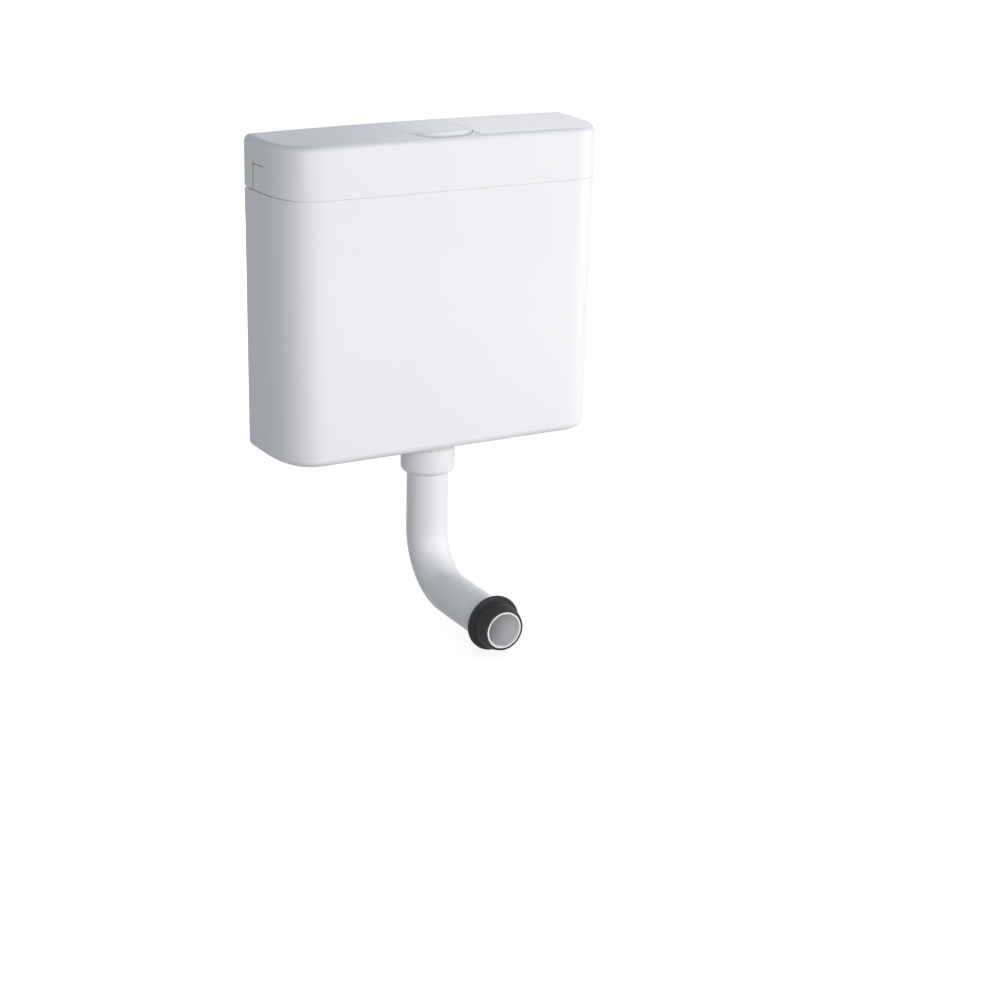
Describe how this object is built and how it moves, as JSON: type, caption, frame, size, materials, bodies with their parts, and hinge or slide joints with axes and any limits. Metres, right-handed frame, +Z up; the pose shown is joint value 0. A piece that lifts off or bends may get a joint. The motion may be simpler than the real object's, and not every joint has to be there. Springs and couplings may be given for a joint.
{
  "type": "toilet cistern",
  "caption": "Low-level wall cistern: white plastic tank and lift-off lid with a tilting flush key, float-operated fill valve, drop flush valve and a bent flush pipe.",
  "frame": {"origin": "on the wall plane, midway between the two wall fixing holes", "axes": "+Z up, +Y into the wall, +X to the right seen from the front"},
  "size_m": [0.4295, 0.247, 0.582],
  "materials": {
    "shell_white": "glossy moulded",
    "fitting_white": "satin moulded",
    "valve_grey": "satin moulded",
    "valve_blue": "satin moulded",
    "clip_green": "satin moulded",
    "rubber_grey": "matt",
    "rubber_red": "matt",
    "pin_steel": "drawn bar",
    "liner_foam": "expanded foam beads"
  },
  "bodies": {
    "tank": {"cistern_body": "shell_white", "insulation_liner": "liner_foam", "outlet_seat": "fitting_white", "outlet_gasket": "rubber_grey", "outlet_back_nut": "fitting_white", "coupling_nut": "shell_white", "cone_seal": "rubber_grey", "flush_bend": "shell_white", "flush_cone": "rubber_grey", "valve_cage": "valve_grey", "lever_bridge": "valve_grey", "lever_pin": "pin_steel", "fill_valve_body": "fitting_white", "fill_valve_cap": "valve_blue", "fill_diaphragm": "rubber_grey", "inlet_strainer": "clip_green", "inlet_washer": "rubber_grey", "inlet_back_nut": "fitting_white", "drop_tube": "fitting_white", "float_lever_pin": "pin_steel", "supply_blank_plug": "fitting_white", "blank_plug_seal": "rubber_grey"},
    "lid": {"lid": "shell_white", "button_frame": "valve_grey", "frame_screws": "pin_steel", "button_pin": "pin_steel"},
    "key": {"flush_button": "shell_white", "push_screw": "fitting_white", "push_locknut": "fitting_white"},
    "lever": {"lift_lever": "valve_blue"},
    "valve": {"overflow_tube": "fitting_white", "valve_foot": "valve_blue", "seal_disc": "rubber_red", "valve_float": "fitting_white", "lift_rod": "fitting_white", "lift_collar": "clip_green"},
    "float": {"float": "valve_grey", "float_rod": "pin_steel", "rod_clips": "clip_green"},
    "float_arm": {"float_lever": "valve_blue"},
    "plunger": {"valve_plunger": "fitting_white", "plunger_seal": "rubber_red"}
  },
  "joints": [
    {"name": "lid_lift", "type": "slide", "parent": "tank", "child": "lid", "axis": [0, 0, 1], "range_m": [0, 0.12]},
    {"name": "key_press", "type": "hinge", "parent": "lid", "child": "key", "pos_m": [0, -0.042, 0.072], "axis": [1, 0, 0], "range_deg": [0, 7]},
    {"name": "lever_turn", "type": "hinge", "parent": "tank", "child": "lever", "pos_m": [0, -0.078, 0.047], "axis": [1, 0, 0], "range_deg": [0, 32]},
    {"name": "valve_lift", "type": "slide", "parent": "tank", "child": "valve", "axis": [0, 0, 1], "range_m": [0, 0.0122]},
    {"name": "float_rise", "type": "slide", "parent": "tank", "child": "float", "axis": [0, 0, 1], "range_m": [0, 0.015]},
    {"name": "float_lever_turn", "type": "hinge", "parent": "tank", "child": "float_arm", "pos_m": [0.145, -0.0375, 0.058], "axis": [0, 1, 0], "range_deg": [0, 28.65]},
    {"name": "plunger_press", "type": "slide", "parent": "tank", "child": "plunger", "axis": [0, 0, -1], "range_m": [0, 0.00256]}
  ],
  "couplings": [
    {"joint": "lever_turn", "follows": "key_press", "ratio": 4.5714},
    {"joint": "valve_lift", "follows": "key_press", "m_per_rad": 0.09976},
    {"joint": "float_lever_turn", "follows": "float_rise", "rad_per_m": 33.333},
    {"joint": "plunger_press", "follows": "float_rise", "ratio": 0.17023}
  ]
}
